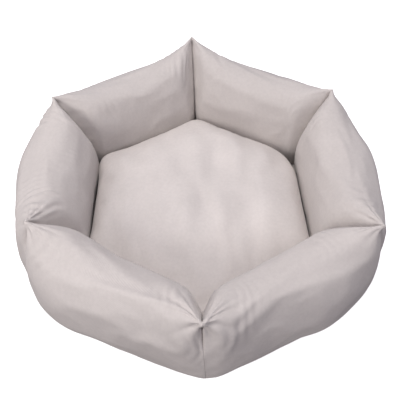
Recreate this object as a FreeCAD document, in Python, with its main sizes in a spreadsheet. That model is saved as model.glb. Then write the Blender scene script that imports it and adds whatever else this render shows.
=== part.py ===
import FreeCAD, Part
import math
import os
from FreeCAD import Placement, Rotation, Vector

# Six-sided pet cushion bed, in millimetres, standing on z = 0 with the middle of its sole at the origin.
# A ring of six stuffed bolsters stands on a hexagonal sole, with a corner of the ring towards -Y.
# Neighbouring bolsters are sewn together through a cloth web in the upright plane of each corner.
# A loose stuffed cushion lies on the padded floor inside the ring, with a zip across its underside.

DRIVING_SIZES = [
    # alias, value, what it is
    ("cloth", 1.2, "thickness of the cover cloth and the corner webs"),
    ("ease", 0.4, "gap between a filling and its cover, and below the loose cushion"),
    ("mid_inner", 195, "bolster middle: radius of its inner face"),
    ("mid_outer", 318, "bolster middle: radius of its outer face"),
    ("mid_top", 168, "bolster middle: height of its top"),
    ("quarter_inner", 204, "half way to a corner: radius of the inner face"),
    ("quarter_outer", 319, "half way to a corner: radius of the outer face"),
    ("quarter_top", 171, "half way to a corner: height of the top"),
    ("corner_inner", 237, "corner: radius of the inner edge of the web"),
    ("corner_outer", 324, "corner: radius of the outer edge of the web"),
    ("corner_top", 186, "corner: height of the pointed ear"),
    ("foot_sink", 8, "how far each oval section would reach below the floor before it is cut flat"),
    ("sole_circumradius", 318, "sole: centre to corner before rounding"),
    ("sole_corner", 120, "sole: corner radius"),
    ("sole_depth", 2, "sole: thickness"),
    ("floor_apothem", 216, "floor wadding and lining: centre to side"),
    ("floor_corner", 12, "floor wadding and lining: corner radius"),
    ("wadding_depth", 7, "floor wadding: thickness"),
    ("lining_depth", 1, "floor lining: thickness"),
    ("cushion_apothem", 189, "loose cushion: centre to side"),
    ("cushion_corner", 70, "loose cushion: corner radius in plan"),
    ("cushion_edge", 32, "loose cushion: radius of its rounded edge"),
    ("cushion_depth", 74, "loose cushion: thickness"),
    ("cushion_seam", 34, "loose cushion: height of its edge seam above its underside"),
    ("zip_length", 240, "zip: length of its tapes"),
    ("trough_wall", 1.2, "zip: thickness of the folded cloth beside the tapes"),
    ("tape_rise", 5, "zip: height of the tapes above the cushion's underside"),
    ("tape_depth", 0.6, "zip: thickness of a tape"),
    ("tape_width", 14, "zip: width of one tape"),
    ("tape_split", 1.6, "zip: slit between the two tapes"),
    ("coil_width", 2.2, "zip: width of one row of teeth"),
    ("coil_depth", 2.2, "zip: height of one row of teeth"),
    ("stop_length", 3, "zip: length of an end stop"),
    ("slider_length", 12, "zip slider: length"),
    ("slider_width", 11, "zip slider: width"),
    ("slider_plate", 1.2, "zip slider: thickness of each plate"),
    ("slider_gap", 0.4, "zip slider: running gap to the tapes and teeth"),
    ("slider_neck", 0.8, "zip slider: width of the neck that runs in the slit"),
    ("slider_start", 100, "zip slider: distance from the middle of the zip when closed"),
]
SIDES = ["right", "back_right", "back_left", "left", "front_left", "front_right"]
CORNERS = ["back_right", "back", "back_left", "front_left", "front", "front_right"]
SIDE_ANGLE = 60
CORNER_ANGLE = 30
# Each bolster is lofted through five upright oval sections: the sheet's name for it, and its angle.
SECTIONS = [("corner", -30), ("quarter", -15), ("mid", 0), ("quarter", 15), ("corner", 30)]
SPACE = 800  # side of the boxes that trim the soft solids, wider than the whole bed

doc = FreeCAD.newDocument("PetCushionBed")
nodes = []


def cell(expression):
    """Puts the sheet's name before each alias in an expression."""
    words = []
    for word in expression.split():
        bare = word.strip("()")
        words.append(word.replace(bare, "Sizes." + bare) if bare in ALIASES else word)
    return " ".join(words)


def bind(thing, **expressions):
    """Ties properties of a document object to cells; base_x stands for Placement.Base.x, and so on."""
    for name, expression in expressions.items():
        path = name.replace("base_", ".Placement.Base.") if name.startswith("base_") else name
        thing.setExpression(path, cell(expression))
    return thing


def keep(thing, label, angle=0):
    """Marks a document object as a sub-part, turned about the bed's upright axis."""
    thing.Label = label
    if angle:
        thing.Placement = Placement(Vector(0, 0, 0), Rotation(Vector(0, 0, 1), angle))
    nodes.append(thing)
    return thing


def combine(kind, name, base, tool):
    """A Part boolean of two objects: Cut, Common or Fuse."""
    result = doc.addObject("Part::" + kind, name)
    result.Base = base
    result.Tool = tool
    return result


def box(name, length, width, height, x, y, z):
    """A box with its near lower left corner at x, y, z, all given as expressions."""
    block = doc.addObject("Part::Box", name)
    return bind(block, Length=length, Width=width, Height=height, base_x=x, base_y=y, base_z=z)


def space_above(name, level):
    """Everything above a level, as a box wider than the bed."""
    return box(name, f"{SPACE}", f"{SPACE}", f"{SPACE}", f"-{SPACE / 2}", f"-{SPACE / 2}", level)


def make_sheet():
    sheet = doc.addObject("Spreadsheet::Sheet", "Sizes")
    for row, (alias, value, meaning) in enumerate(DRIVING_SIZES, start=1):
        sheet.set(f"A{row}", str(value))
        sheet.setAlias(f"A{row}", alias)
        sheet.set(f"B{row}", meaning)
    doc.recompute()


def ring_share(name, end_inset, level):
    """Everything above a level between the two corner planes about +X, held end_inset clear of them.

    It is a three-sided prism with one edge, of 60 degrees, along the bed's upright axis.
    """
    share = doc.addObject("Part::Prism", name)
    share.Polygon = 3
    share.Circumradius = SPACE
    share.Height = SPACE
    share.Placement.Rotation = Rotation(Vector(0, 0, 1), 180)
    return bind(share, base_x=f"{SPACE} + 2 * ( {end_inset} )", base_z=level)


def oval(name, station, angle, inset):
    """One upright oval section of a bolster, facing along the ring."""
    section = doc.addObject("Part::Ellipse", name)
    turn = math.radians(angle)
    outward = Vector(math.cos(turn), math.sin(turn), 0)
    down = Vector(0, 0, -1)  # the oval starts and ends underneath, so the loft's seam is cut away
    section.Placement = Placement(Vector(), Rotation(down, outward, down.cross(outward), "XYZ"))
    middle = f"( {station}_inner + {station}_outer ) / 2"
    return bind(
        section,
        MajorRadius=f"( {station}_top + foot_sink ) / 2 - ( {inset} )",
        MinorRadius=f"( {station}_outer - {station}_inner ) / 2 - ( {inset} )",
        base_x=f"( {middle} ) * {outward.x}",
        base_y=f"( {middle} ) * {outward.y}",
        base_z=f"( {station}_top - foot_sink ) / 2",
    )


def bolster_solid(name, inset, space):
    """One bolster about the +X side, drawn in by inset all round and kept within space."""
    loft = doc.addObject("Part::Loft", name + "_loft")
    loft.Sections = [
        oval(f"{name}_section_{i}", station, angle, inset)
        for i, (station, angle) in enumerate(SECTIONS)
    ]
    loft.Solid = True
    return combine("Common", name, loft, space)


def make_bolsters():
    outside = bolster_solid("outside", "0", ring_share("outside_share", "cloth / 2", "sole_depth"))
    cavity = bolster_solid("cavity", "cloth", space_above("cavity_space", "sole_depth + cloth"))
    stuffing = bolster_solid(
        "stuffing",
        "cloth + ease",
        ring_share("stuffing_share", "cloth / 2 + ease", "sole_depth + cloth + ease"),
    )
    for i, side in enumerate(SIDES):
        cover = combine("Cut", "cover_" + side, outside, cavity)
        keep(cover, "bolster_cover_" + side, i * SIDE_ANGLE)
        fill = combine("Common", "fill_" + side, stuffing, stuffing.Tool)
        keep(fill, "bolster_fill_" + side, i * SIDE_ANGLE)


def make_corner_webs():
    """The cloth web that each pair of bolsters is sewn to, in the upright plane of each corner."""
    outline = oval("web_outline", "corner", CORNER_ANGLE, "0")
    sheet = doc.addObject("Part::Extrusion", "web_sheet")
    sheet.Base = outline
    sheet.DirMode = "Normal"
    sheet.Solid = True
    sheet.Symmetric = True
    bind(sheet, LengthFwd="cloth")
    above_sole = space_above("web_space", "sole_depth")
    for i, corner in enumerate(CORNERS):
        web = combine("Common", "web_" + corner, sheet, above_sole)
        keep(web, "corner_web_" + corner, i * SIDE_ANGLE)


def level_edges(shape, level):
    """Names of a shape's edges that lie all along one height."""
    return [
        f"Edge{i}"
        for i, edge in enumerate(shape.Edges, start=1)
        if all(abs(vertex.Z - level) < 0.01 for vertex in edge.Vertexes)
    ]


def upright_edges(shape):
    return [
        f"Edge{i}"
        for i, edge in enumerate(shape.Edges, start=1)
        if abs(edge.Vertexes[0].Z - edge.Vertexes[-1].Z) > 0.01
    ]


def hexagon(name, circumradius, depth, corner, level, edge=None):
    """A hexagonal slab with rounded corners, a corner towards -Y, and rounded rims if edge is given."""
    body = doc.addObject("PartDesign::Body", name)
    slab = body.newObject("PartDesign::AdditivePrism", name + "_slab")
    slab.Polygon = 6
    bind(slab, Circumradius=circumradius, Height=depth)
    doc.recompute()
    corners = body.newObject("PartDesign::Fillet", name + "_corners")
    corners.Base = (slab, upright_edges(slab.Shape))
    bind(corners, Radius=corner)
    doc.recompute()
    if edge:
        rims = body.newObject("PartDesign::Fillet", name + "_rims")
        top = corners.Shape.BoundBox.ZMax
        rims.Base = (corners, level_edges(corners.Shape, 0) + level_edges(corners.Shape, top))
        bind(rims, Radius=edge)
    body.Placement.Rotation = Rotation(Vector(0, 0, 1), CORNER_ANGLE)
    bind(body, base_z=level)
    return body


def make_floor():
    sole = hexagon("sole", "sole_circumradius", "sole_depth", "sole_corner", "0")
    wadding = hexagon(
        "wadding", "floor_apothem / cos(30deg)", "wadding_depth", "floor_corner", "sole_depth"
    )
    lining = hexagon(
        "lining",
        "floor_apothem / cos(30deg)",
        "lining_depth",
        "floor_corner",
        "sole_depth + wadding_depth",
    )
    keep(sole, "sole_panel")
    keep(wadding, "floor_wadding")
    keep(lining, "floor_lining")


UNDERSIDE = "sole_depth + wadding_depth + lining_depth + ease"
SEAM_LEVEL = UNDERSIDE + " + cushion_seam"


def cushion_solid(name, inset):
    return hexagon(
        name,
        f"( cushion_apothem - ( {inset} ) ) / cos(30deg)",
        f"cushion_depth - 2 * ( {inset} )",
        f"cushion_corner - ( {inset} )",
        f"{UNDERSIDE} + {inset}",
        edge=f"cushion_edge - ( {inset} )",
    )


def lengthwise_box(name, length, width, height, y, z, x_middle="0"):
    """A box that lies along the zip, centred on x_middle, with its lower face z above the underside."""
    return box(name, length, width, height, f"{x_middle} - ( {length} ) / 2", y, f"{UNDERSIDE} + {z}")


TAPES_WIDTH = "( tape_split + 2 * tape_width )"
TROUGH_WIDTH = "( tape_split + 2 * tape_width + 2 * trough_wall )"
TROUGH_LENGTH = "( zip_length + 2 * trough_wall )"


def make_cushion():
    """Two cloth panels sewn together round the edge, and their filling, with a trough for the zip."""
    outside = cushion_solid("cushion_outside", "0")
    shell = combine("Cut", "cushion_shell", outside, cushion_solid("cushion_inside", "cloth"))
    upper = combine("Common", "cushion_upper", shell, space_above("above_seam", SEAM_LEVEL))
    keep(upper, "cushion_top_panel")

    lower = combine("Cut", "cushion_lower", shell, space_above("over_seam", SEAM_LEVEL))
    half_trough = f"- {TROUGH_WIDTH} / 2"
    folds = combine(
        "Cut",
        "zip_folds",
        lengthwise_box(
            "folds_outside", TROUGH_LENGTH, TROUGH_WIDTH, "tape_rise + tape_depth", half_trough, "0"
        ),
        lengthwise_box(
            "folds_inside", "zip_length", TAPES_WIDTH, "4 * tape_rise", f"- {TAPES_WIDTH} / 2", "-1"
        ),
    )
    opening = lengthwise_box(
        "zip_opening", TROUGH_LENGTH, TROUGH_WIDTH, "4 * tape_rise", half_trough, "-1"
    )
    slotted = combine("Cut", "cushion_lower_slotted", lower, opening)
    keep(combine("Fuse", "cushion_under", slotted, folds), "cushion_bottom_panel")

    filling = cushion_solid("cushion_filling", "cloth + ease")
    relief = lengthwise_box(
        "zip_relief",
        TROUGH_LENGTH + " + 2 * ease",
        TROUGH_WIDTH + " + 2 * ease",
        "2 * tape_rise",
        half_trough + " - ease",
        "-1",
    )
    keep(combine("Cut", "cushion_stuffing", filling, relief), "cushion_fill")


def mirrored_pair(name, length, width, height, gap, z, x_middle="0"):
    """Two equal boxes along the zip, one each side of its slit, gap apart."""
    near = lengthwise_box(name + "_near", length, width, height, f"- ( {gap} ) / 2 - {width}", z, x_middle)
    far = lengthwise_box(name + "_far", length, width, height, f"( {gap} ) / 2", z, x_middle)
    return combine("Fuse", name, near, far)


def make_zip():
    keep(
        mirrored_pair("tapes", "zip_length", "tape_width", "tape_depth", "tape_split", "tape_rise"),
        "zip_tapes",
    )
    teeth_level = "tape_rise - coil_depth"
    keep(
        mirrored_pair(
            "teeth", "zip_length - 4 * stop_length", "coil_width", "coil_depth", "tape_split", teeth_level
        ),
        "zip_teeth",
    )
    stops = []
    for name, sign in (("stop_left", "-"), ("stop_right", "+")):
        middle = f"0 {sign} ( zip_length / 2 - stop_length )"
        width = "( tape_split + 2 * coil_width )"
        stops.append(
            lengthwise_box(name, "stop_length", width, "coil_depth", f"- {width} / 2", teeth_level, middle)
        )
    keep(combine("Fuse", "stops", *stops), "zip_end_stops")


def make_slider():
    """Two plates, one each side of the tapes, joined by a neck in the slit; it has no pull to chew."""
    start = "0 - slider_start"
    lower_level = "tape_rise - coil_depth - slider_gap - slider_plate"
    upper_level = "tape_rise + tape_depth + slider_gap"
    half = "- slider_width / 2"
    lower = lengthwise_box(
        "slider_lower", "slider_length", "slider_width", "slider_plate", half, lower_level, start
    )
    upper = lengthwise_box(
        "slider_upper", "slider_length", "slider_width", "slider_plate", half, upper_level, start
    )
    neck = lengthwise_box(
        "slider_neck_block",
        "slider_length / 2",
        "slider_neck",
        "coil_depth + tape_depth + 2 * slider_gap + slider_plate",
        "- slider_neck / 2",
        "tape_rise - coil_depth - slider_gap",
        start,
    )
    flange = "( slider_width / 2 - tape_split / 2 - coil_width - slider_gap )"
    flanges = mirrored_pair(
        "slider_flanges",
        "slider_length",
        flange,
        "coil_depth",
        "slider_width - 2 * " + flange,
        "tape_rise - coil_depth - slider_gap",
        start,
    )
    slider = doc.addObject("Part::MultiFuse", "slider")
    slider.Shapes = [lower, upper, neck, flanges]
    keep(slider, "zip_slider")


def check_and_export():
    doc.recompute()
    for thing in doc.Objects:
        if "Invalid" in thing.State or "Error" in thing.State:
            raise RuntimeError(f"{thing.Name} failed: {thing.State}")
    os.makedirs("parts", exist_ok=True)
    for thing in nodes:
        shape = thing.Shape
        if shape.isNull() or not shape.isValid() or not shape.Solids:
            raise RuntimeError(f"{thing.Label} has no valid solid")
        shape.exportStep(f"parts/{thing.Label}.step")
        print(f"{thing.Label:28s} {len(shape.Solids)} solid(s), {shape.Volume / 1000:9.2f} cm3")


ALIASES = {alias for alias, _, _ in DRIVING_SIZES}
make_sheet()
make_bolsters()
make_corner_webs()
make_floor()
make_cushion()
make_zip()
make_slider()
check_and_export()
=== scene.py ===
import math

import bmesh
import bpy
import numpy as np
from bpy.props import FloatProperty, FloatVectorProperty, IntProperty, PointerProperty
from mathutils import Matrix, Vector, noise


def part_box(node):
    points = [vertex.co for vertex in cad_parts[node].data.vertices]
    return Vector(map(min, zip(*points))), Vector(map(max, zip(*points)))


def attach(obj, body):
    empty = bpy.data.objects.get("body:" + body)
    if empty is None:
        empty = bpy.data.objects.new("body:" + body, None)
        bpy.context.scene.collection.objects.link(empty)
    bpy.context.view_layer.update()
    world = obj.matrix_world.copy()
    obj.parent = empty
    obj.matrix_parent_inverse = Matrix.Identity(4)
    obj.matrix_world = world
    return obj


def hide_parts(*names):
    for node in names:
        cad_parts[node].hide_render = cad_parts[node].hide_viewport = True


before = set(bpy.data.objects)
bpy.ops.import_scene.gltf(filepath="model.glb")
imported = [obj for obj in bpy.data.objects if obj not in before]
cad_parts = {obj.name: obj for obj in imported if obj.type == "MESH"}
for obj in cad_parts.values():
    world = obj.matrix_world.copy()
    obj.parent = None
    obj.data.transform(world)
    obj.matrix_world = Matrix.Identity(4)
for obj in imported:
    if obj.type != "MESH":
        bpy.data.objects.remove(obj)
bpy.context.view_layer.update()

bl_info = {
    "name": "Pet cushion bed",
    "version": (1, 0, 0),
    "blender": (4, 5, 0),
    "location": "View3D > Sidebar > Pet bed",
    "description": "Dresses the six-sided pet bed: stuffed bolsters, loose cushion, floor, zip and studio",
    "category": "Object",
}

MM = 0.001
# The CAD boxes that sizes start from, straight after loading.
BOLSTER_LOW, BOLSTER_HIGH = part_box("bolster_cover_right")
EAR_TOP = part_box("corner_web_front")[1].z
SOLE_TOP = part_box("sole_panel")[1].z
WADDING_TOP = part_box("floor_wadding")[1].z
LINING_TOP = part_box("floor_lining")[1].z
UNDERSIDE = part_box("cushion_bottom_panel")[0].z
SEAM_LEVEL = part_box("cushion_top_panel")[0].z
CUSHION_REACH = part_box("cushion_top_panel")[1].x
CUSHION_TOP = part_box("cushion_top_panel")[1].z
TAPES_LOW, TAPES_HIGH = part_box("zip_tapes")

# Sides and corners run anticlockwise from the flat side towards +X.
SIDES = ["right", "back_right", "back_left", "left", "front_left", "front_right"]
CORNERS = ["back_right", "back", "back_left", "front_left", "front", "front_right"]
SHARE = math.radians(60)
HALF_SHARE = math.radians(30)

# How each ear leans away from a regular hexagon: outwards, anticlockwise and up, in millimetres.
EAR_LEAN = {
    "back_right": (-7, 4, 1),
    "back": (17, 7, 8),
    "back_left": (-2, 11, 1),
    "front_left": (-8, -8, 0),
    "front": (0, -4, -2),
    "front_right": (8, -4, 0),
}
# The folds pinched into each ear: depth and reach in millimetres.
EAR_PLEATS = {
    "back_right": (1.8, 24),
    "back": (1.8, 22),
    "back_left": (2.4, 26),
    "front_left": (7.0, 28),
    "front": (8.5, 32),
    "front_right": (4.6, 28),
}
# Where each bolster bulges or is drawn in on its outer face: place from -1 to 1 along it, and millimetres.
OUTER_SWELL = {
    "right": [(0.1, 5)],
    "back_right": [],
    "back_left": [],
    "left": [(-0.3, 10)],
    "front_left": [(0.35, -11), (-0.65, 7)],
    "front_right": [(-0.35, -12), (0.65, 6)],
}
# Ripples that run round each bolster beside its ears: depth and spread in millimetres.
RIPPLES = {side: (1.7, 60) if side == "left" else (1.0, 32) for side in SIDES}
# How far the loose cushion pushes into each corner of the ring beyond its rounded outline, in millimetres.
CORNER_PUSH = {
    "back_right": -9, "back": 4, "back_left": 7, "front_left": 8, "front": 7, "front_right": 2,
}


# -------- settings


def linear(hex_colour):
    """An sRGB hex colour as linear red, green, blue and alpha."""
    parts = [int(hex_colour[i : i + 2], 16) / 255 for i in (1, 3, 5)]
    return (*[p / 12.92 if p <= 0.04045 else ((p + 0.055) / 1.055) ** 2.4 for p in parts], 1.0)


def length(name, default, description):
    return FloatProperty(name=name, description=description, default=default, unit="LENGTH")


def colour(name, default, description):
    return FloatVectorProperty(
        name=name, description=description, default=linear(default)[:3],
        subtype="COLOR", size=3, min=0, max=1,
    )


class BedSizes(bpy.types.PropertyGroup):
    inner_face: length(
        "Inner face", BOLSTER_LOW.x, "Centre of the bed to the middle of a bolster's inner face"
    )
    outer_face: length(
        "Outer face", BOLSTER_HIGH.x, "Centre of the bed to the middle of a bolster's outer face"
    )
    ridge_height: length(
        "Ridge height", 168 * MM, "Height of a bolster's top half way between two ears"
    )
    ear_height: length("Ear height", EAR_TOP, "Height of the pointed ear at each corner")
    ear_reach: length("Ear reach", 299 * MM, "Centre of the bed to the tip of an ear")
    cushion_reach: length(
        "Cushion reach", CUSHION_REACH + 5 * MM, "Centre of the loose cushion to the middle of its side"
    )
    cushion_crown: length(
        "Cushion crown", CUSHION_TOP + 1 * MM, "Height of the middle of the loose cushion"
    )
    floor_reach: length(
        "Floor reach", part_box("floor_lining")[1].x, "Centre of the bed to the side of its padded floor"
    )


class BedColours(bpy.types.PropertyGroup):
    bolster_cloth: colour(
        "Bolster cloth", "#d2ccc9", "Pale warm grey of the brushed twill round the bolsters"
    )
    cushion_cloth: colour(
        "Cushion cloth", "#ded8d5", "Slightly paler grey of the cushion's washed twill"
    )
    sole_cloth: colour("Sole cloth", "#534d4b", "Dark brown grey of the non-slip cloth underneath")
    zip_tape: colour("Zip tape", "#cdc1be", "Dyed yarn of the zip's tapes")


class BedCloth(bpy.types.PropertyGroup):
    pressure: FloatProperty(
        name="Stuffing pressure", description="How hard the fibre filling pushes the cloth out",
        default=3.0, min=0, max=20,
    )
    spare_cloth: FloatProperty(
        name="Spare cloth", description="Share by which each panel is cut longer than the space it spans",
        default=0.006, min=0, max=0.2, subtype="FACTOR",
    )
    settle_frames: IntProperty(
        name="Settling frames", description="Frames that the cloth is given to settle over its filling",
        default=18, min=2, max=60,
    )


class BedSettings(bpy.types.PropertyGroup):
    sizes: PointerProperty(type=BedSizes)
    colours: PointerProperty(type=BedColours)
    cloth: PointerProperty(type=BedCloth)


# -------- small helpers


def smooth(x):
    """Eases from 0 to 1 as x goes from 0 to 1."""
    x = np.clip(x, 0.0, 1.0)
    return x * x * (3 - 2 * x)


def blend(a, b, share):
    return a + (b - a) * share


def bump_field(points, scale, seed):
    """Soft random values from -1 to 1 at each point, with lumps about scale across."""
    shift = Vector((seed * 3.17, seed * -5.31, seed * 7.73))
    return np.array([noise.noise(Vector(p) / scale + shift) for p in points.reshape(-1, 3)]).reshape(
        points.shape[:-1]
    )


def coordinates(mesh):
    flat = np.empty(len(mesh.vertices) * 3, np.float64)
    mesh.vertices.foreach_get("co", flat)
    return flat.reshape(-1, 3)


def set_coordinates(mesh, points):
    mesh.vertices.foreach_set("co", np.asarray(points, np.float32).ravel())
    mesh.update()


def add_piece(name, mesh, material=None, smooth_faces=True):
    piece = bpy.data.objects.new(name, mesh)
    bpy.context.scene.collection.objects.link(piece)
    if material:
        mesh.materials.append(material)
    for polygon in mesh.polygons:
        polygon.use_smooth = smooth_faces
    return piece


def finish_mesh(work, name):
    mesh = bpy.data.meshes.new(name)
    work.to_mesh(mesh)
    work.free()
    return mesh


def new_verts(made):
    """The points that an extrusion made."""
    return [part for part in made["geom"] if isinstance(part, bmesh.types.BMVert)]


def cut(work, level, normal, clear_outer=False):
    """Cuts a mesh along the plane across normal, level away from the origin."""
    bmesh.ops.bisect_plane(
        work, geom=work.verts[:] + work.edges[:] + work.faces[:], dist=1e-6,
        plane_co=normal * level, plane_no=normal, clear_outer=clear_outer,
    )


def refine(piece):
    """One live subdivision, the same in the viewport and in the render."""
    finer = piece.modifiers.new("Finer cloth", "SUBSURF")
    finer.levels = finer.render_levels = 1


# -------- the shape of a bolster


ROWS = 80  # cloth squares along a bolster
COLUMNS = 120  # cloth squares round a bolster
SEAM_GAP = 0.06 * MM  # from the middle of a corner seam to the cover on either side
WEB_HALF = 0.3 * MM  # half a corner web's thickness
WEB_INSET = 1.4 * MM  # from the outside of the seam in to the edge of the web

# Heights where a cover lies flat, may not sink below, is held down, and starts to tuck in.
FLAT_LEVEL = SOLE_TOP + 0.6 * MM
LOWEST_LEVEL = SOLE_TOP + 0.3 * MM
HELD_LEVEL = SOLE_TOP + 1 * MM
TUCK_LEVEL = SOLE_TOP + 2 * MM

SWAY = 2.2 * MM  # how far a corner seam wanders to either side
SWAY_RISE = 62 * MM  # climb in which it turns by one radian
SWAY_PHASE = 1.7  # radians between one corner and the next
SWAY_START = 60 * MM  # climb over which it sets in

# Outer (1) and inner (-1) face: height where it stands out furthest, and how square it is below and above
# that, as a power: 2 is round, and more is squarer.
FACES = {1: (76 * MM, 2.0, 2.05), -1: (68 * MM, 2.6, 2.3)}
EAR_BELLY, EAR_POWER = 64 * MM, 1.4  # that height and the upper power at the ears
EAR_FROM, EAR_OVER = 0.7, 0.3  # where the top starts to narrow to an ear; over what length
INNER_DRAW = 3.5 * MM  # how far the inner face is drawn out at the corners
OUTER_SPARE = 1 * MM  # how far the outer face stands past its measure
OUTER_DRAW = 38 * MM  # how far it is drawn in at the corners
UNDER = -6 * MM  # where the section would end, were it not pressed flat
ROUND_STEPS = 400  # points on each quarter of the section, before it is divided
CROWD_ROUND, CROWD_ALONG = 0.25, 0.35  # how much closer the squares are near the ridge and the ears
LENGTH_SHARE = 1.25  # a bolster's mean length over that of its inner face

PLEATS, PLEATS_VARY, PLEATS_INSIDE = 11.0, 1.6, 1.5  # number in a fan, its variation, more inside
PLEAT_SHARPNESS, PLEAT_SHARE = 0.7, 0.6  # below 1 is sharp; share of a pleat that is pressed in
PLEAT_FADE, PLEAT_TIP = 1.4, 7  # how suddenly pleats end; where they start, millimetres from the tip
RIPPLE_STEP = 2.3 * MM  # length in which a ripple turns by one radian
RIPPLE_CENTRE = 50  # millimetres from the tip of the ear to the deepest ripple
RIPPLE_END = 3.5 * MM  # length beside the seam that stays free of folds

TUCK_LENGTH = 20 * MM  # length over which the cloth turns in to the seam
TUCK_INNER, TUCK_OUTER = 15 * MM, 11 * MM  # how deep, on the inner face and outside below the ear
SWELL_LENGTH, SWELL_RISE = 0.42, 40 * MM  # a bulge's length as a share; the climb over which it sets in
BIG_LUMPS, SMALL_LUMPS = (2.2 * MM, 80 * MM), (0.5 * MM, 26 * MM)  # height and width


def corner_sway(corner, points):
    """How far the seam between two bolsters strays anticlockwise at each point's height."""
    height = points[..., 2]
    lean = EAR_LEAN[corner][1] * MM
    wave = SWAY * np.sin(height / SWAY_RISE + SWAY_PHASE * CORNERS.index(corner))
    rise = smooth(height / EAR_TOP)
    return lean * rise + wave * smooth(height / SWAY_START) * (1 - rise**3)


def section(sizes, u):
    """One upright section of a bolster, u = 0 at its middle and 1 at the corner seam.

    Returns outline points (distance along the side's normal, height) from the bottom, up the outer face,
    over the top and down the inner face, a little closer together near the top.
    """
    inner = blend(sizes.inner_face, sizes.inner_face + INNER_DRAW, u**8)
    outer = sizes.outer_face + OUTER_SPARE - OUTER_DRAW * u**2.2
    apex = blend((inner + outer) / 2, sizes.ear_reach * math.cos(HALF_SHARE), u**3)
    top = sizes.ridge_height + (sizes.ear_height - sizes.ridge_height) * u**2.6
    pinch = smooth((u - EAR_FROM) / EAR_OVER) ** 2
    turn = np.linspace(0, math.pi / 2, ROUND_STEPS)
    centre, reach = (inner + outer) / 2, (outer - inner) / 2

    def face(sign):
        belly, low_power, high_power = FACES[sign]
        middle = blend(belly, EAR_BELLY, u**2)
        top_power = blend(high_power, EAR_POWER, pinch)
        low = np.array([
            centre + sign * reach * np.sin(turn) ** (2 / low_power),
            middle + (UNDER - middle) * np.cos(turn) ** (2 / low_power),
        ]).T
        across = np.cos(turn) ** (2 / top_power)
        up = np.sin(turn) ** (2 / top_power)
        high = np.array([
            centre + sign * reach * across + (apex - centre) * up**2.2,
            middle + (top - middle) * up,
        ]).T
        line = np.vstack([low, high[1:]])
        line[:, 1] = np.maximum(line[:, 1], FLAT_LEVEL)
        steps = np.concatenate([[0], np.cumsum(np.linalg.norm(np.diff(line, axis=0), axis=1))])
        share = np.linspace(0, 1, COLUMNS // 2 + 1)
        even = steps[-1] * share * (1 + CROWD_ROUND - CROWD_ROUND * share**2)
        return np.array([np.interp(even, steps, line[:, 0]), np.interp(even, steps, line[:, 1])]).T

    return np.vstack([face(1), face(-1)[::-1][1:]])


def spacing():
    """Places of the cloth's rows from -1 to 1 along a bolster, closer together near its ears."""
    along = np.linspace(-1, 1, ROWS + 1)
    return along * (1 + CROWD_ALONG - CROWD_ALONG * along**2)


def distances(sizes, points):
    """How far each point of a bolster's grid is from its nearer end, and from the ridge at its top."""
    half_length = sizes.inner_face * math.tan(HALF_SHARE) * LENGTH_SHARE
    to_end = (1 - np.abs(spacing()))[:, None] * half_length
    steps = np.linalg.norm(np.diff(points, axis=1), axis=2)
    run = np.concatenate([np.zeros((ROWS + 1, 1)), np.cumsum(steps, axis=1)], axis=1)
    return to_end, np.abs(run - run[:, COLUMNS // 2][:, None])


def pleat_ears(sizes, points, index):
    """Presses in the pleats that fan out from each ear, and the ripples beside them."""
    to_end, from_apex = distances(sizes, points)
    normal = np.cross(np.gradient(points, axis=0), np.gradient(points, axis=1))
    normal /= np.maximum(np.linalg.norm(normal, axis=2, keepdims=True), 1e-12)
    outside = points - points.mean(axis=1, keepdims=True)
    normal *= np.where((normal * outside).sum(axis=2, keepdims=True) < 0, -1.0, 1.0)
    span = np.hypot(to_end, from_apex) / MM
    fan = np.arctan2(from_apex, to_end + 1e-9)
    inner_side = np.arange(COLUMNS + 1)[None, :] > COLUMNS / 2
    folds = np.zeros(points.shape[:2])
    for end in (0, 1):
        corner = CORNERS[(index - 1 + end) % 6]
        depth, reach = EAR_PLEATS[corner]
        turns = PLEATS + PLEATS_VARY * math.sin(5 * index + 3 * end) + PLEATS_INSIDE * inner_side
        wave = np.abs(np.sin(turns * fan / 2 + 1.1 * index + end)) ** PLEAT_SHARPNESS - PLEAT_SHARE
        fade = np.exp(-((span / reach) ** PLEAT_FADE)) * smooth(span / PLEAT_TIP)
        here = (spacing()[:, None] > 0) == bool(end)
        folds += np.where(here, wave * fade * depth * MM, 0)
    # The ripples come in patches 60 mm across, and drift out of step over 45 mm.
    patches = smooth(0.5 + 1.6 * bump_field(points, 60 * MM, index + 21))
    drift = 1.4 * bump_field(points, 45 * MM, index + 31)
    depth, spread = RIPPLES[SIDES[index]]
    near_ear = np.exp(-(((span - RIPPLE_CENTRE) / spread) ** 2))
    ripples = np.sin(to_end / RIPPLE_STEP + 2 * math.pi * drift) * near_ear
    folds += depth * MM * ripples * patches
    folds *= smooth(to_end / RIPPLE_END)
    return keep_to_share(points + normal * folds[..., None], index)


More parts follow.
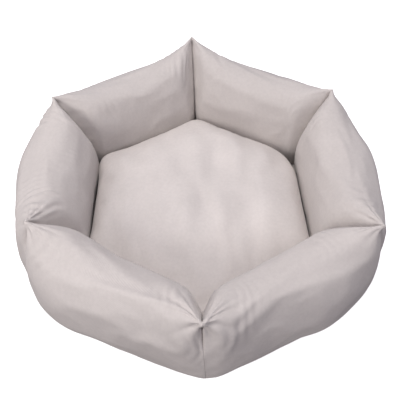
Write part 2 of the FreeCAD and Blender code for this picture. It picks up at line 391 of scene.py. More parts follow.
def bolster_base(sizes, index):
    """Grid of points for one bolster's cover about +X, before it is stuffed."""
    along = spacing()
    outline = np.array([section(sizes, abs(t)) for t in along])
    x, z = outline[..., 0].copy(), outline[..., 1].copy()

    # Outward direction of the outline within its own section.
    dx, dz = np.gradient(x, axis=1), np.gradient(z, axis=1)
    length = np.maximum(np.hypot(dx, dz), 1e-9)
    out_x, out_z = dz / length, -dx / length

    # The cloth turns in to the sewn seam over the last few millimetres at each end: deeply on the
    # inner face, and on the outer face only just below the ear.
    to_end, from_apex = distances(sizes, np.stack([x, 0 * x, z], axis=-1))
    tuck = np.clip(1 - to_end / TUCK_LENGTH, 0, 1)
    tuck = 1 - np.sqrt(1 - tuck**2)
    inside = TUCK_INNER * np.clip(-out_x, 0, 1) * smooth(from_apex / (45 * MM))
    near_ear = smooth((from_apex - 3 * MM) / (12 * MM)) * (1 - smooth((from_apex - 28 * MM) / (45 * MM)))
    depth = np.maximum(inside, TUCK_OUTER * near_ear) * (z > TUCK_LEVEL)
    for place, amount in OUTER_SWELL[SIDES[index]]:
        bulge = amount * MM * np.exp(-(((along - place) / SWELL_LENGTH) ** 2)) * (1 - np.abs(along) ** 6)
        x += np.clip(out_x, 0, 1) * bulge[:, None] * smooth(z / SWELL_RISE)
    x -= out_x * depth * tuck
    z -= out_z * depth * tuck

    # Lumps in the filling, which fade towards the seams and the sole.
    angle = along[:, None] * HALF_SHARE
    points = np.stack([x, x * np.tan(angle), z], axis=-1)
    lumps = BIG_LUMPS[0] * bump_field(points, BIG_LUMPS[1], index + 1)
    lumps = lumps + SMALL_LUMPS[0] * bump_field(points, SMALL_LUMPS[1], index + 11)
    lumps = lumps * smooth(to_end / (25 * MM)) * smooth((z - 6 * MM) / (20 * MM))
    x += out_x * lumps
    z += out_z * lumps
    points = np.stack([x, x * np.tan(angle), z], axis=-1)

    # Each end follows the lean and sway of its corner.
    for corner, sign, sideways in ends(index):
        outward = np.array([math.cos(HALF_SHARE), sign * math.sin(HALF_SHARE), 0])
        near = np.clip(along * sign, 0, 1)[:, None] ** 3
        lean_out = EAR_LEAN[corner][0] * MM * smooth(points[..., 2] / EAR_TOP) ** 1.5
        sway = corner_sway(corner, points)
        points = points + (near * lean_out)[..., None] * outward + (near * sway)[..., None] * sideways
        points[..., 2] += near * EAR_LEAN[corner][2] * MM * smooth(points[..., 2] / EAR_TOP) ** 3
    return keep_to_share(points, index)


def ends(index):
    """The corner at each end of a bolster, its sign along the bolster, and anticlockwise there."""
    for end, sign in ((0, -1), (1, 1)):
        sideways = np.array([-sign * math.sin(HALF_SHARE), math.cos(HALF_SHARE), 0])
        yield CORNERS[(index - 1 + end) % 6], sign, sideways


def keep_to_share(points, index):
    """Presses a bolster's cover flat wherever it would pass the seam surface it shares with a neighbour."""
    points = points.copy()
    for corner, sign, sideways in ends(index):
        past = (points @ sideways - corner_sway(corner, points)) * sign + SEAM_GAP
        points -= (np.maximum(past, 0) * sign)[..., None] * sideways
    points[..., 2] = np.maximum(points[..., 2], LOWEST_LEVEL)
    return points


def soften(field, passes):
    """Blurs a grid of displacements; its columns close into a ring and its rows end at the seams."""
    for _ in range(passes):
        ring = field[:, :-1]
        ring = (np.roll(ring, 1, axis=1) + 2 * ring + np.roll(ring, -1, axis=1)) / 4
        padded = np.concatenate([ring[:1], ring, ring[-1:]])
        ring = (padded[:-2] + 2 * padded[1:-1] + padded[2:]) / 4
        field = np.concatenate([ring, ring[:, :1]], axis=1)
    return field


def lay_cloth(points):
    """A sheet of cloth squares laid to a grid of places, rows first, with a UV map in metres."""
    rows, columns = points.shape[0] - 1, points.shape[1] - 1
    work = bmesh.new()
    bmesh.ops.create_grid(work, x_segments=columns, y_segments=rows, size=0.5, calc_uvs=False)
    work.verts.ensure_lookup_table()
    flat = points.reshape(-1, 3)
    for vertex, place in zip(work.verts, flat):
        vertex.co = place
    steps = np.linalg.norm(np.diff(points[rows // 2], axis=0), axis=1)
    across = np.concatenate([[0], np.cumsum(steps)])
    layer = work.loops.layers.uv.new("Cloth")
    work.verts.index_update()
    for f in work.faces:
        for loop in f.loops:
            i = loop.vert.index
            loop[layer].uv = (flat[i][1], across[i % (columns + 1)])
    return work


# -------- sewing and stuffing


# The cloth solver: steps in a frame, kilograms, damping by the air, and stiffness.
SOLVER = {
    "quality": 6, "mass": 0.25, "air_damping": 2.0, "tension_stiffness": 12.0,
    "compression_stiffness": 12.0, "shear_stiffness": 6.0, "bending_stiffness": 3.0,
}
DISH_DEPTH = 1.7  # how deep a bolster's ends are dished, in halves of a web's thickness
DISH_INSET = 0.8 * WEB_INSET  # width of the flat rim round that dish
SWELL_BLUR = 60  # passes that part the solver's swelling from its folds
SWELL_LIMIT = 2.0 * MM  # the most that the swelling is let through
FOLDS_KEPT = 0.5  # share of the folds that is kept
SWELL_EASE = 55 * MM  # length at each end over which the swelling sets in
FILL_INSET = 6  # millimetres from the cover in to its filling
FILL_LENGTH = 0.96  # length of the filling as a share of its cover's
FILL_LEVEL = SOLE_TOP + 1.5 * MM  # the filling's underside


def settle(pieces, pressure, spare, frames):
    """Lets Blender's cloth solver stuff the pieces; returns each one's points afterwards."""
    scene = bpy.context.scene
    for piece in pieces:
        cloth = piece.modifiers.new("Stuffing", "CLOTH")
        cloth.point_cache.frame_start = 1
        cloth.point_cache.frame_end = frames
        setting = cloth.settings
        for name, value in SOLVER.items():
            setattr(setting, name, value)
        setting.use_pressure = True
        setting.uniform_pressure_force = pressure
        setting.shrink_min = -spare
        setting.vertex_group_mass = "sewn"
        setting.effector_weights.gravity = 0
        cloth.collision_settings.use_collision = False
    for number in range(1, frames + 1):
        scene.frame_set(number)
    settled = []
    graph = bpy.context.evaluated_depsgraph_get()
    for piece in pieces:
        settled.append(coordinates(piece.evaluated_get(graph).data))
    for piece in pieces:
        piece.modifiers.remove(piece.modifiers["Stuffing"])
    scene.frame_set(1)
    return settled


def sew(piece, held):
    """Names the points that are sewn down, or rest on something."""
    group = piece.vertex_groups.new(name="sewn")
    group.add([int(i) for i in np.nonzero(held)[0]], 1.0, "REPLACE")


def close_ends(work):
    """Welds the wrap's two long edges underneath and closes its ends at the corner seams."""
    crease = work.edges.layers.float.new("crease_edge")
    bmesh.ops.remove_doubles(work, verts=work.verts, dist=1e-6)
    rims = [e for e in work.edges if e.is_boundary]
    for edge in rims:
        edge[crease] = 1.0
    caps = bmesh.ops.holes_fill(work, edges=rims, sides=0)["faces"]
    bmesh.ops.recalc_face_normals(work, faces=work.faces)
    # Each end is dished, so that the web has room between two covers.
    for cap in caps:
        into = cap.normal * -DISH_DEPTH * WEB_HALF
        rim = set(cap.verts)
        bmesh.ops.inset_region(work, faces=[cap], thickness=DISH_INSET)
        bmesh.ops.translate(work, verts=[v for v in cap.verts if v not in rim], vec=into)


def turned(points, index):
    """Points about +X turned to their own side of the ring."""
    c, s = math.cos(SHARE * index), math.sin(SHARE * index)
    x, y, z = points[..., 0], points[..., 1], points[..., 2]
    return np.stack([c * x - s * y, s * x + c * y, z], axis=-1)


class PETBED_OT_bolsters(bpy.types.Operator):
    """Sew and stuff the six bolsters of the ring, each a single wrap of cloth round its filling"""

    bl_idname = "petbed.bolsters"
    bl_label = "Stuff the bolsters"

    def execute(self, context):
        bed = context.scene.pet_bed
        cover_cloth, filling = brushed_twill(), polyester_fibre()
        shapes = [bolster_base(bed.sizes, index) for index in range(6)]
        shapes = self.stuff(bed, shapes)
        for index, side in enumerate(SIDES):
            shape = pleat_ears(bed.sizes, shapes[index], index)
            cover = turned(shape, index)
            self.close("bolster_cover_" + side, "_cloth", cover, cover_cloth, "cover_cloth", finer=True)
            self.make_fill(side, shape, index, filling)
        return {"FINISHED"}

    def stuff(self, bed, bases):
        """Stuffs all six wraps at once, and returns their points with the swelling held back."""
        wraps, cloth = [], bed.cloth
        for side, base in zip(SIDES, bases):
            wrap = add_piece("wrap_" + side, finish_mesh(lay_cloth(base), "wrap_" + side))
            held = base[..., 2] < HELD_LEVEL
            held[0] = held[-1] = held[:, 0] = held[:, -1] = True
            sew(wrap, held.ravel())
            wraps.append(wrap)
        settled = settle(wraps, cloth.pressure, cloth.spare_cloth, cloth.settle_frames)
        shapes = []
        for index, (base, points) in enumerate(zip(bases, settled)):
            change = points.reshape(base.shape) - base
            swell = soften(change, SWELL_BLUR)
            reach = np.linalg.norm(swell, axis=2, keepdims=True)
            folds = soften(change - swell, 1) * FOLDS_KEPT
            to_end, _ = distances(bed.sizes, base)
            ease = smooth(to_end / SWELL_EASE)[..., None]
            swell = ease * swell * SWELL_LIMIT / (SWELL_LIMIT + reach)
            shapes.append(keep_to_share(base + folds + swell, index))
        for wrap in wraps:
            mesh = wrap.data
            bpy.data.objects.remove(wrap)
            bpy.data.meshes.remove(mesh)
        return shapes

    def close(self, name, ending, points, material, slot, finer=False):
        """Closes a sheet of cloth squares into a bolster's cover or its filling."""
        work = lay_cloth(points)
        close_ends(work)
        piece = add_piece(name + ending, finish_mesh(work, name), material)
        if finer:
            refine(piece)
        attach(piece, "bed")
        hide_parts(name)

    def make_fill(self, side, points, index, filling):
        """The fibre filling, a little inside its cover."""
        middle = np.mean(points, axis=1, keepdims=True)
        inward = middle - points
        inward /= np.maximum(np.linalg.norm(inward, axis=2, keepdims=True), 1e-9)
        smaller = points + inward * FILL_INSET * MM
        smaller[..., 1] *= FILL_LENGTH
        smaller[..., 2] = np.maximum(smaller[..., 2], FILL_LEVEL)
        # Every second point is enough for a shape that stays inside its cover.
        smaller = turned(smaller[::2, ::2], index)
        self.close("bolster_fill_" + side, "_fibre", smaller, filling, "fibre_filling")


class PETBED_OT_corner_webs(bpy.types.Operator):
    """Cut the six cloth webs that neighbouring bolsters are sewn to"""

    bl_idname = "petbed.corner_webs"
    bl_label = "Cut the corner webs"

    def execute(self, context):
        sizes = context.scene.pet_bed.sizes
        cloth = brushed_twill()
        for index, corner in enumerate(CORNERS):
            name = "corner_web_" + corner
            outline = bolster_base(sizes, index)[-1][:-1]
            work = bmesh.new()
            made = bmesh.ops.create_circle(work, cap_ends=True, segments=len(outline), radius=1)
            sideways = Vector((-math.sin(HALF_SHARE), math.cos(HALF_SHARE), 0))
            inward = outline.mean(axis=0) - outline
            outline = outline + inward / np.linalg.norm(inward, axis=1, keepdims=True) * WEB_INSET
            for vertex, place in zip(made["verts"], outline):
                vertex.co = Vector(place) + sideways * (SEAM_GAP - WEB_HALF)
            sheet = bmesh.ops.extrude_face_region(work, geom=work.faces[:])
            bmesh.ops.translate(work, verts=new_verts(sheet), vec=sideways * 2 * WEB_HALF)
            bmesh.ops.rotate(work, verts=work.verts, matrix=Matrix.Rotation(SHARE * index, 3, "Z"))
            bmesh.ops.recalc_face_normals(work, faces=work.faces)
            web = add_piece(name + "_cloth", finish_mesh(work, name), cloth, smooth_faces=False)
            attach(web, "bed")
            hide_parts(name)
        return {"FINISHED"}


# -------- the floor of the bed


FLOOR_SQUARES = 96  # grid squares across the floor, before it is cut to a hexagon
FLOOR_SPARE = 1.2  # the grid's size as a share of the hexagon's, so that it covers the corners
DIMPLE_WIDTH = 38 * MM


def floor_layer(name, low, high, reach, dimple, seed):
    """A hexagonal layer of the bed's floor with a softly dimpled top."""
    work = bmesh.new()
    bmesh.ops.create_grid(
        work, x_segments=FLOOR_SQUARES, y_segments=FLOOR_SQUARES, size=reach * FLOOR_SPARE
    )
    for number in range(6):
        normal = Vector((math.cos(SHARE * number), math.sin(SHARE * number), 0))
        cut(work, reach, normal, clear_outer=True)
    bmesh.ops.translate(work, verts=work.verts, vec=(0, 0, low))
    raised = bmesh.ops.extrude_face_region(work, geom=work.faces[:])
    for vertex in new_verts(raised):
        spot = noise.noise(vertex.co / DIMPLE_WIDTH + Vector((seed, seed, seed)))
        vertex.co.z = high - dimple * (0.5 + 0.5 * spot)
    bmesh.ops.recalc_face_normals(work, faces=work.faces)
    return finish_mesh(work, name)


class PETBED_OT_floor(bpy.types.Operator):
    """Lay the sole, its wadding and the lining over it"""

    bl_idname = "petbed.floor"
    bl_label = "Lay the padded floor"

    def execute(self, context):
        reach = context.scene.pet_bed.sizes.floor_reach
        for node, ending, low, high, dimple, seed, material, slot in (
            (
                "floor_lining", "_cloth", WADDING_TOP, LINING_TOP, 0.5 * MM, 4.0,
                brushed_twill(), "cover_cloth",
            ),
            (
                "floor_wadding", "_fibre", SOLE_TOP, WADDING_TOP, 0.4 * MM, 9.0,
                polyester_fibre(), "wadding",
            ),
        ):
            layer = floor_layer(node, low, high, reach, dimple, seed)
            piece = add_piece(node + ending, layer, material)
            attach(piece, "bed")
            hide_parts(node)
        dress("sole_panel", dotted_sole_cloth())
        return {"FINISHED"}


# -------- the loose cushion


SPOKES, RINGS = 192, 68  # cloth squares round the cushion, and from the middle above to that below
RIM_POWER = 26  # how square the hexagon's corners are
PUSH_WIDTH = math.radians(8)  # half the angle over which a corner of the cushion is pushed
FORWARD = 1.5 * MM  # how far the cushion lies towards the front of the ring
FRONT_FROM, FRONT_OVER = 30 * MM, 160 * MM  # where the crown starts to fall to the front; over what length
FRONT_DROP = 0.62  # share of its height that it loses
# Powers of the cushion's profile, (1 - share ** first) ** second: on top behind and in front, and underneath.
TOP_BACK, TOP_FRONT, UNDERNEATH = (4.4, 0.5), (3.0, 0.6), (6, 0.7)
# Lumps and hollows on top, longer from back to front: height and width in millimetres, and seed.
CUSHION_LUMPS = ((9.0, 50, 31), (2.2, 25, 37))
LUMP_STRETCH = (1.0, 0.45, 0.0)
LUMP_FADE = 0.3  # share of the reach, in from the rim, over which the lumps set in
CUSHION_PRESSURE, CUSHION_SPARE = 0.6, 1.2  # stuffing pressure and spare cloth, over the bolsters'
CUSHION_LIMIT = 4 * MM  # the most that stuffing may raise or lower a point
RIM_SHARE, FLAT_SHARE = 0.999, 0.9  # share of the reach at the rim, and of the underside that lies flat
CUSHION_FLAT = UNDERSIDE + 0.2 * MM  # level of that flat underside
CUSHION_LOWEST = UNDERSIDE + 0.1 * MM  # no point may sink below this


def rim_reach(sizes, angle):
    """Distance from the cushion's centre to its rim in each direction: a hexagon with soft corners."""
    sides = np.arange(6) * SHARE
    facing = np.maximum(np.cos(angle[..., None] - sides), 0.0)
    reach = sizes.cushion_reach / (facing**RIM_POWER).sum(axis=-1) ** (1 / RIM_POWER)
    for number, corner in enumerate(CORNERS):
        off = (angle - (number + 0.5) * SHARE + math.pi) % (2 * math.pi) - math.pi
        reach = reach + CORNER_PUSH[corner] * MM * np.exp(-((off / PUSH_WIDTH) ** 2))
    return reach


def cushion_base(sizes, ball):
    """Where each point of a unit ball goes on the unstuffed cushion; its equator becomes the rim."""
    tilt = np.arccos(np.clip(ball[:, 2], -1, 1))
    share = np.where(tilt <= math.pi / 2, tilt, math.pi - tilt) / (math.pi / 2)
    share = np.clip(share, 0, 1)
    angle = np.arctan2(ball[:, 1], ball[:, 0])
    reach = rim_reach(sizes, angle)
    points = np.empty_like(ball)
    points[:, 0] = np.cos(angle) * share * reach
    points[:, 1] = np.sin(angle) * share * reach - FORWARD
    crown = sizes.cushion_crown - SEAM_LEVEL
    towards_front = smooth((-points[:, 1] - FRONT_FROM) / FRONT_OVER)
    crown = crown * (1 - FRONT_DROP * towards_front)
    first, second = (blend(back, front, towards_front) for back, front in zip(TOP_BACK, TOP_FRONT))
    over = SEAM_LEVEL + crown * (1 - share**first) ** second
    under = SEAM_LEVEL + (CUSHION_FLAT - SEAM_LEVEL) * (1 - share ** UNDERNEATH[0]) ** UNDERNEATH[1]
    is_over = ball[:, 2] >= -1e-6
    points[:, 2] = np.where(is_over, over, under)
    stretched = points * np.array(LUMP_STRETCH)
    lumps = sum(
        height * MM * bump_field(stretched, width * MM, seed) for height, width, seed in CUSHION_LUMPS
    )
    points[:, 2] += np.where(is_over, lumps * smooth((1 - share) / LUMP_FADE), 0)
    return points, share, is_over


class PETBED_OT_cushion(bpy.types.Operator):
    """Sew and stuff the loose cushion, as an upper and an under panel round its filling"""

    bl_idname = "petbed.cushion"
    bl_label = "Stuff the loose cushion"

    def execute(self, context):
        bed = context.scene.pet_bed
        work = bmesh.new()
        bmesh.ops.create_uvsphere(work, u_segments=SPOKES, v_segments=RINGS, radius=1)
        mesh = finish_mesh(work, "cushion")
        points, share, is_over = cushion_base(bed.sizes, coordinates(mesh))
        set_coordinates(mesh, points)
        held = (share > RIM_SHARE) | (~is_over & (share < FLAT_SHARE))
        points = self.stuff(bed.cloth, mesh, points, held)
        set_coordinates(mesh, points)
        self.make_panels(mesh, points, share, is_over)
        return {"FINISHED"}

    def stuff(self, cloth, mesh, base, held):
        """Stuffs the cushion's bag, and returns its points with their rise and fall held back."""
        bag = add_piece("bag", mesh)
        sew(bag, held)
        pressure, spare = cloth.pressure * CUSHION_PRESSURE, cloth.spare_cloth * CUSHION_SPARE
        change = settle([bag], pressure, spare, cloth.settle_frames)[0] - base
        bpy.data.objects.remove(bag)
        rise = change[:, 2]
        limited = np.clip(rise, -CUSHION_LIMIT, CUSHION_LIMIT)
        points = base + change * (np.abs(limited) / np.maximum(np.abs(rise), 1e-9))[:, None]
        points[:, 2] = np.maximum(points[:, 2], CUSHION_LOWEST)
        return points

    def make_panels(self, mesh, points, share, is_over):
        cloth = washed_twill()
        top = add_piece("cushion_top_panel_cloth", self.panel(mesh, share, is_over, over=True), cloth)
        refine(top)
        bottom = add_piece("cushion_bottom_panel_cloth", self.panel(mesh, share, is_over, over=False), cloth)
        filling = self.filling(mesh, points, is_over)
        for piece, node, slot in (
            (top, "cushion_top_panel", "cushion_cloth"),
            (bottom, "cushion_bottom_panel", "cushion_cloth"),
            (filling, "cushion_fill", "fibre_filling"),
        ):
            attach(piece, "cushion")
            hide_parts(node)

    def panel(self, mesh, share, is_over, over):
        """The half of the bag above or below its rim; the under panel is slit and folded for the zip."""
        work = bmesh.new()
        work.from_mesh(mesh)
        work.verts.ensure_lookup_table()
        rim = share > RIM_SHARE
        wrong = [
            f for f in work.faces
            if not all(rim[v.index] or is_over[v.index] == over for v in f.verts)
        ]
        bmesh.ops.delete(work, geom=wrong, context="FACES")
        if not over:
            self.slit_for_zip(work)
        bmesh.ops.recalc_face_normals(work, faces=work.faces)
        top = max(work.faces, key=lambda f: f.calc_center_median().z * (1 if over else -1))
        if (top.normal.z > 0) != over:
            bmesh.ops.reverse_faces(work, faces=work.faces)
        layer = work.loops.layers.uv.new("Cloth")
        for f in work.faces:
            for loop in f.loops:
                loop[layer].uv = loop.vert.co.xy
        return finish_mesh(work, "cushion_top_panel" if over else "cushion_bottom_panel")

    def slit_for_zip(self, work):
        """Opens a rectangle round the zip's tapes and folds its edges up to them."""
        low, high = TAPES_LOW, TAPES_HIGH
        for normal, levels in ((Vector((1, 0, 0)), (low.x, high.x)), (Vector((0, 1, 0)), (low.y, high.y))):
            for level in levels:
                cut(work, level, normal)
        inside = [
            f for f in work.faces
            if low.x < (spot := f.calc_center_median()).x < high.x and low.y < spot.y < high.y
        ]
        bmesh.ops.delete(work, geom=inside, context="FACES")
        # The slit's own edges, and not those of the cushion's rim.
        rim = [
            e for e in work.edges
            if e.is_boundary and all(
                abs(v.co.z - UNDERSIDE) < 2 * MM and abs(v.co.x) < 130 * MM and abs(v.co.y) < 50 * MM
                for v in e.verts
            )
        ]
        folded = bmesh.ops.extrude_edge_only(work, edges=rim)
        for vertex in new_verts(folded):
            vertex.co.z = high.z

    def filling(self, mesh, points, is_over):
        """The fibre filling, drawn in from the panels and kept above the zip."""
        inner = mesh.copy()
        smaller = points.copy()
        smaller[:, :2] *= 0.985
        above = np.maximum(smaller[:, 2] - 3 * MM, SEAM_LEVEL)
        below = np.maximum(smaller[:, 2], UNDERSIDE + 2 * MM)
        smaller[:, 2] = np.where(is_over, above, below)
        over_zip = (
            (np.abs(smaller[:, 0]) < TAPES_HIGH.x + 12 * MM)
            & (np.abs(smaller[:, 1]) < TAPES_HIGH.y + 10 * MM)
            & ~is_over
        )
        smaller[:, 2] = np.where(over_zip, np.maximum(smaller[:, 2], TAPES_HIGH.z + 3 * MM), smaller[:, 2])
        set_coordinates(inner, smaller)
        return add_piece("cushion_fill_fibre", inner, polyester_fibre())


# -------- materials


def add(tree, kind, settings=None, **links):
    """Adds a node, sets its properties and inputs, and links it from other nodes' outputs."""
    node = tree.nodes.new(kind)
    for name, value in (settings or {}).items():
        if hasattr(node, name) and name not in node.inputs:
            setattr(node, name, value)
        else:
            node.inputs[name].default_value = value
    for name, output in links.items():
        tree.links.new(output, node.inputs[name.replace("_", " ") if name not in node.inputs else name])
    return node


def mix(tree, tones, factor):
    """A colour between two tones, by a texture's value."""
    settings = {"data_type": "RGBA", "A": tones[0], "B": tones[1]}
    return add(tree, "ShaderNodeMix", settings, Factor=factor).outputs["Result"]


def paint(tree, shader, tones, factor):
    tree.links.new(mix(tree, tones, factor), shader.inputs["Base Color"])


def emboss(tree, shader, strength, distance, height):
    relief = add(tree, "ShaderNodeBump", {"Strength": strength, "Distance": distance}, Height=height)
    tree.links.new(relief.outputs["Normal"], shader.inputs["Normal"])


def shades(colour, spread):
    """A darker and a lighter shade either side of a linear colour, for a mix to run between."""
    return [(*(part * share for part in colour), 1.0) for share in (1 - spread, 1 + spread)]


def chosen(name):
    """The colour that the panel holds under that name."""
    return getattr(bpy.context.scene.pet_bed.colours, name)


def new_material(name, finish):
    """A new material, its tree, its shader and its texture coordinates; or the one that exists, and None."""
    material = bpy.data.materials.get(name)
    if material:
        return material, None, None, None
    material = bpy.data.materials.new(name)
    material.use_nodes = True
    tree = material.node_tree
    tree.nodes.clear()
    shader = add(tree, "ShaderNodeBsdfPrincipled", finish)
    add(tree, "ShaderNodeOutputMaterial", Surface=shader.outputs["BSDF"])
    return material, tree, shader, add(tree, "ShaderNodeTexCoord").outputs


def brushed_twill():
    """Brushed polyester twill: fine slanting ribs under a short nap that catches the light at edges."""
    return twill("brushed polyester twill", shades(chosen("bolster_cloth"), 0.06))


def washed_twill():
    """The same twill after washing: a little paler, and mottled where the nap has lain over."""
    return twill("washed polyester twill", shades(chosen("cushion_cloth"), 0.10))


def twill(name, tones):
    """The twill that both covers share, coloured between two tones; its sheen is the light in the nap."""
    finish = {"Roughness": 0.85, "Specular IOR Level": 0.25, "Sheen Weight": 0.25, "Sheen Roughness": 0.45}
    material, tree, shader, place = new_material(name, finish)
    if not tree:
        return material
    # Slight unevenness of the dye and nap, 60 mm and 5 mm across.
    broad = add(tree, "ShaderNodeTexNoise", {"Scale": 16.0, "Detail": 3.0}, Vector=place["Object"])
    fine = add(tree, "ShaderNodeTexNoise", {"Scale": 200.0, "Detail": 4.0}, Vector=place["Object"])
    speckle = add(
        tree, "ShaderNodeMix", {"data_type": "RGBA", "blend_type": "MULTIPLY", "Factor": 0.14},
        A=mix(tree, tones, broad.outputs["Fac"]), B=fine.outputs["Fac"],
    )
    tree.links.new(speckle.outputs["Result"], shader.inputs["Base Color"])
    # Ribs of the twill: real ones are 0.5 mm apart, drawn 1.6 mm apart so that they show.
    lie = add(tree, "ShaderNodeMapping", {"Rotation": (0, 0, math.radians(63))}, Vector=place["UV"])
    ribs = add(
        tree, "ShaderNodeTexWave",
        {"wave_type": "BANDS", "Scale": 200.0, "Distortion": 1.2, "Detail": 2.0, "Detail Scale": 1.5},
        Vector=lie.outputs["Vector"],
    )
    nap = add(
        tree, "ShaderNodeBump", {"Strength": 0.25, "Distance": 0.6 * MM}, Height=fine.outputs["Fac"]
    )
    weave = add(
        tree, "ShaderNodeBump", {"Strength": 0.22, "Distance": 0.3 * MM},
        Height=ribs.outputs["Fac"], Normal=nap.outputs["Normal"],
    )
    tree.links.new(weave.outputs["Normal"], shader.inputs["Normal"])
    return material


def polyester_fibre():
    """Carded hollow polyester fibre: white, fluffy and full of fine strands."""
    material, tree, shader, place = new_material("carded polyester fibre", {"Roughness": 0.95})
    if tree:
        strands = add(
            tree, "ShaderNodeTexNoise", {"Scale": 140.0, "Detail": 8.0, "Distortion": 2.0},
            Vector=place["Object"],
        )
        paint(tree, shader, (linear("#e6e6e2"), linear("#f7f7f5")), strands.outputs["Fac"])
        emboss(tree, shader, 0.8, 1.5 * MM, strands.outputs["Fac"])
    return material


def dotted_sole_cloth():
    """Non-slip sole cloth: dark woven polyester with small raised dots of grip compound, 6 mm apart."""
    material, tree, shader, place = new_material("dotted non-slip cloth", {"Roughness": 0.75})
    if not tree:
        return material
    dots = add(tree, "ShaderNodeTexVoronoi", {"Scale": 160.0, "Randomness": 0.0}, Vector=place["Object"])
    dot = add(
        tree, "ShaderNodeMapRange",
        {"From Min": 0.22, "From Max": 0.30, "To Min": 1.0, "To Max": 0.0},
        Value=dots.outputs["Distance"],
    )
    weave = add(tree, "ShaderNodeTexNoise", {"Scale": 600.0, "Detail": 3.0}, Vector=place["Object"])
    tones = shades(chosen("sole_cloth"), 0.2)
    tone = add(
        tree, "ShaderNodeMix", {"data_type": "RGBA", "B": linear("#3a3634")},
        A=mix(tree, tones, weave.outputs["Fac"]), Factor=dot.outputs["Result"],
    )
    tree.links.new(tone.outputs["Result"], shader.inputs["Base Color"])
    emboss(tree, shader, 0.7, 0.5 * MM, dot.outputs["Result"])
    return material


def woven_tape():
    """Woven zip tape: a flat herringbone of polyester yarn, dyed to match the cover."""
    material, tree, shader, place = new_material("woven zip tape", {"Roughness": 0.8})
    if tree:
        yarn = add(
            tree, "ShaderNodeTexWave", {"Scale": 260.0, "Distortion": 0.6, "bands_direction": "DIAGONAL"},
            Vector=place["Object"],
        )
        paint(tree, shader, shades(chosen("zip_tape"), 0.09), yarn.outputs["Fac"])
        emboss(tree, shader, 0.4, 0.2 * MM, yarn.outputs["Fac"])
    return material


def moulded_nylon():
    """Moulded nylon zip teeth: satin, with a groove between teeth every 1.4 mm; the grooves are coloured
    darker as painted shade.
    """
    material, tree, shader, place = new_material("moulded nylon teeth", {"Roughness": 0.4})
    if tree:
        teeth = add(
            tree, "ShaderNodeTexWave", {"Scale": 224.0, "bands_direction": "X", "wave_profile": "SIN"},
            Vector=place["Object"],
        )
        # The darker tone in the grooves between teeth is painted shade; the lighter tone is the nylon's own
        # colour.
        paint(tree, shader, (linear("#8f8480"), linear("#cfc4c0")), teeth.outputs["Fac"])
        emboss(tree, shader, 1.0, 0.6 * MM, teeth.outputs["Fac"])
    return material


def enamelled_zinc():
    """Die-cast zinc with a thin baked enamel: smooth, slightly mottled gloss."""
    material, tree, shader, place = new_material("enamelled zinc", {"Roughness": 0.3, "Coat Weight": 0.5})
    if tree:
        mottle = add(tree, "ShaderNodeTexNoise", {"Scale": 900.0, "Detail": 2.0}, Vector=place["Object"])
        paint(tree, shader, (linear("#b9adaa"), linear("#c9bebb")), mottle.outputs["Fac"])
    return material


def studio_paper(name, tone, glow):
    """Matt studio paper with a fine pulp grain; glow keeps it white under soft light."""
    finish = {
        "Roughness": 0.95, "Specular IOR Level": 0.1,
        "Emission Color": (1, 1, 1, 1), "Emission Strength": glow,
    }
    material, tree, shader, place = new_material(name, finish)
    if tree:
        pulp = add(tree, "ShaderNodeTexNoise", {"Scale": 400.0}, Vector=place["Object"])
        paint(tree, shader, shades(linear(tone)[:3], 0.02), pulp.outputs["Fac"])
    return material


def dress(node, material):
    """Gives a CAD node its material, and leaves its shape alone."""
    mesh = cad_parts[node].data
    mesh.materials.clear()
    mesh.materials.append(material)


class PETBED_OT_zip(bpy.types.Operator):
    """Give the zip's tapes, teeth, end stops and slider their finishes"""

    bl_idname = "petbed.zip"
    bl_label = "Finish the zip"

    def execute(self, context):
        dress("zip_tapes", woven_tape())
        dress("zip_teeth", moulded_nylon())
        dress("zip_end_stops", enamelled_zinc())
        dress("zip_slider", enamelled_zinc())
        return {"FINISHED"}


# -------- the stage


CAMERA_PLACE = (-0.0158, -0.5279, 0.7268)
CAMERA_TARGET = (-0.0015, -0.105, EAR_TOP)
CAMERA_ROLL = math.radians(0.48)
LAMP_TINT, LAMP_TARGET = "#fffaf5", (0, 0, 80 * MM)
# Place, side of the square in metres, and watts.
LAMPS = {
    "key_softbox": ((-1.08, -1.08, 0.92), 0.6, 10.5),
    "top_softbox": ((-0.24, 0.2, 1.9), 0.7, 16.0),
    "fill_softbox": ((0.7, -0.9, 1.7), 1.2, 4.0),
}
PAPER_REACH = 6.0  # from the middle of the studio paper to its edge


def aim(thing, target, roll=0.0):
    """Turns a camera or lamp to look at target, then rolls it about its own line of sight."""
    away = thing.location - Vector(target)
    turn = away.to_track_quat("Z", "Y").to_matrix().to_4x4()
    thing.rotation_euler = (turn @ Matrix.Rotation(roll, 4, "Z")).to_euler()


def softbox(name, place, side, watts):
    lamp = bpy.data.lights.new(name, "AREA")
    lamp.shape = "SQUARE"
    lamp.size = side
    lamp.energy = watts
    lamp.color = linear(LAMP_TINT)[:3]
    holder = bpy.data.objects.new(name, lamp)
    bpy.context.scene.collection.objects.link(holder)
    holder.location = place
    aim(holder, LAMP_TARGET)


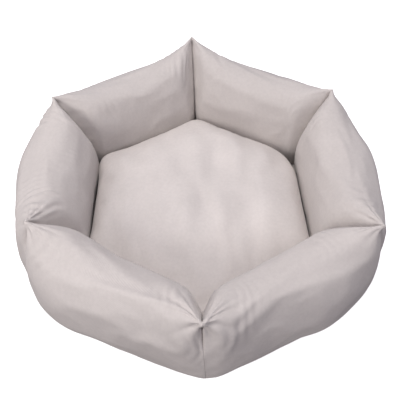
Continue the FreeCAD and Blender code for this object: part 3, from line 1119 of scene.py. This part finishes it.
class PETBED_OT_stage(bpy.types.Operator):
    """Set up the camera, a white paper floor and soft studio light"""

    bl_idname = "petbed.stage"
    bl_label = "Set the stage"

    def execute(self, context):
        scene = context.scene
        lens = bpy.data.cameras.new("camera")
        lens.lens = 41.2
        lens.sensor_width = 36.0
        lens.clip_end = 20.0
        camera = bpy.data.objects.new("camera", lens)
        scene.collection.objects.link(camera)
        camera.location = CAMERA_PLACE
        aim(camera, CAMERA_TARGET, CAMERA_ROLL)
        scene.camera = camera

        # White paper that the camera sees, and a grey one below it that only the light meets.
        paper = self.sheet("studio_floor", -0.3 * MM, studio_paper("white studio paper", "#f4f4f5", 0.75))
        paper.visible_diffuse = False
        paper.visible_glossy = False
        card = self.sheet("bounce_card", -0.6 * MM, studio_paper("grey studio paper", "#b3a99f", 0.0))
        card.visible_camera = False

        for name, (place, side, watts) in LAMPS.items():
            softbox(name, place, side, watts)

        world = bpy.data.worlds.new("studio")
        world.use_nodes = True
        backdrop = world.node_tree.nodes["Background"]
        backdrop.inputs["Color"].default_value = linear("#f1efff")
        backdrop.inputs["Strength"].default_value = 0.41
        scene.world = world
        scene.view_settings.view_transform = "Standard"
        scene.view_settings.look = "None"
        return {"FINISHED"}

    def sheet(self, name, level, material):
        """A wide level sheet that belongs to the studio."""
        work = bmesh.new()
        bmesh.ops.create_grid(work, x_segments=1, y_segments=1, size=PAPER_REACH)
        bmesh.ops.translate(work, verts=work.verts, vec=(0, 0, level))
        paper = add_piece(name, finish_mesh(work, name), material)
        return paper


# -------- the add-on


class PETBED_PT_panel(bpy.types.Panel):
    bl_label = "Pet bed"
    bl_idname = "PETBED_PT_panel"
    bl_space_type = "VIEW_3D"
    bl_region_type = "UI"
    bl_category = "Pet bed"

    def draw(self, context):
        bed = context.scene.pet_bed
        for group in (bed.sizes, bed.colours, bed.cloth):
            box = self.layout.box()
            for name in group.__annotations__:
                box.prop(group, name)
        for operator in OPERATORS:
            self.layout.operator(operator.bl_idname)


OPERATORS = (
    PETBED_OT_stage,
    PETBED_OT_floor,
    PETBED_OT_bolsters,
    PETBED_OT_corner_webs,
    PETBED_OT_cushion,
    PETBED_OT_zip,
)
CLASSES = (BedSizes, BedColours, BedCloth, BedSettings, *OPERATORS, PETBED_PT_panel)


def register():
    for item in CLASSES:
        bpy.utils.register_class(item)
    bpy.types.Scene.pet_bed = PointerProperty(type=BedSettings)


def unregister():
    del bpy.types.Scene.pet_bed
    for item in reversed(CLASSES):
        bpy.utils.unregister_class(item)


def main():
    register()
    bpy.ops.petbed.stage()
    bpy.ops.petbed.floor()
    bpy.ops.petbed.bolsters()
    bpy.ops.petbed.corner_webs()
    bpy.ops.petbed.cushion()
    bpy.ops.petbed.zip()


if __name__ == "__main__":
    main()
